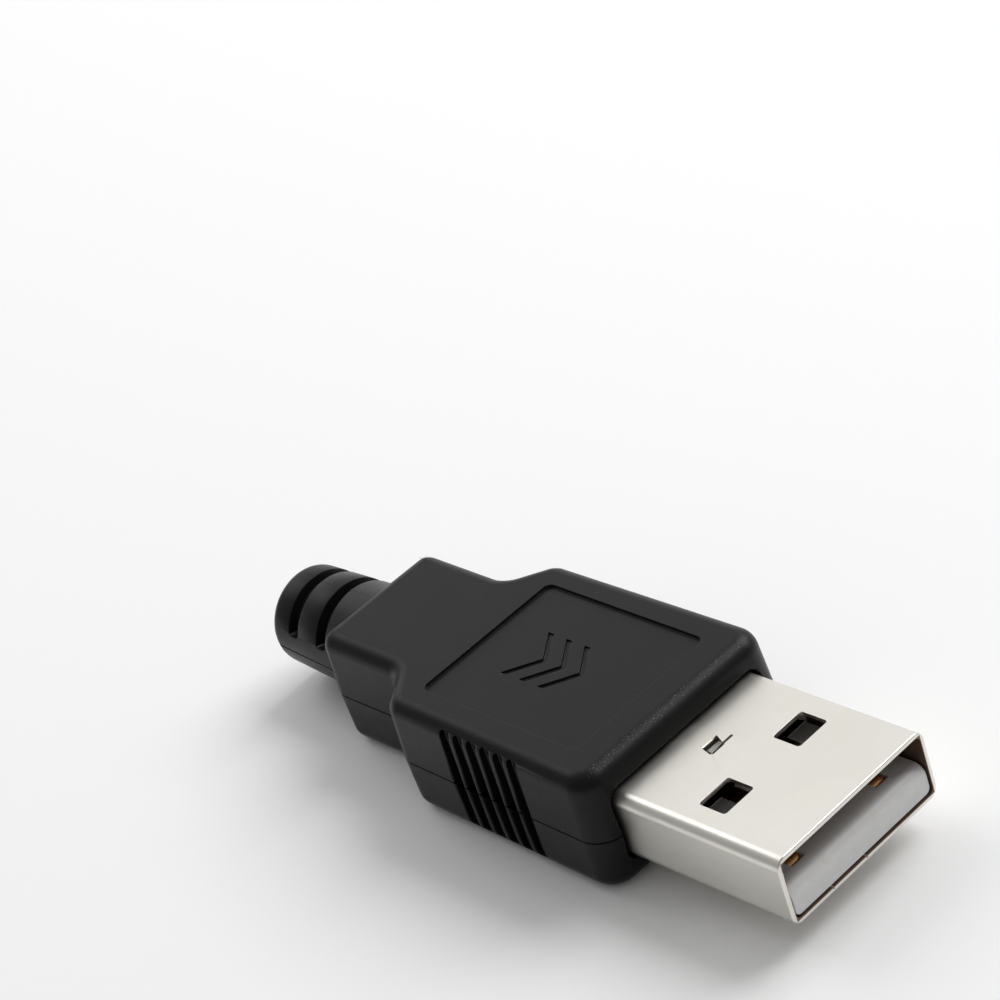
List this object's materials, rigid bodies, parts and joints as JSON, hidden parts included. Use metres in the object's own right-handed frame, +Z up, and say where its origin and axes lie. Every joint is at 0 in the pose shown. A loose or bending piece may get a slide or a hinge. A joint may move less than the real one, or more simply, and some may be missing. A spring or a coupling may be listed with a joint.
{
  "type": "usb-a plug",
  "caption": "Cable plug with a folded metal shell and a two-piece snap-together black cover with ribbed grips and a slotted strain relief.",
  "frame": {"origin": "middle of the plug's length and width, on the flat underside of the lower cover", "axes": "+X along the plug, out of the mouth of the metal shell; +Z up, out of the side with the sunk thumb panel; Y across the plug"},
  "size_m": [0.0456, 0.0154, 0.0079],
  "materials": {
    "cover_plastic": "black, fine moulded grain, satin",
    "plated_sheet": "nickel plate, satin",
    "white_plastic": "milky white, smooth",
    "contact_metal": "thin gold over copper alloy, smooth"
  },
  "bodies": {
    "root": {"upper_cover": "cover_plastic", "lower_cover": "cover_plastic", "metal_shell": "plated_sheet", "insulator": "white_plastic", "power_contact": "contact_metal", "data_minus_contact": "contact_metal", "data_plus_contact": "contact_metal", "ground_contact": "contact_metal"}
  },
  "joints": []
}
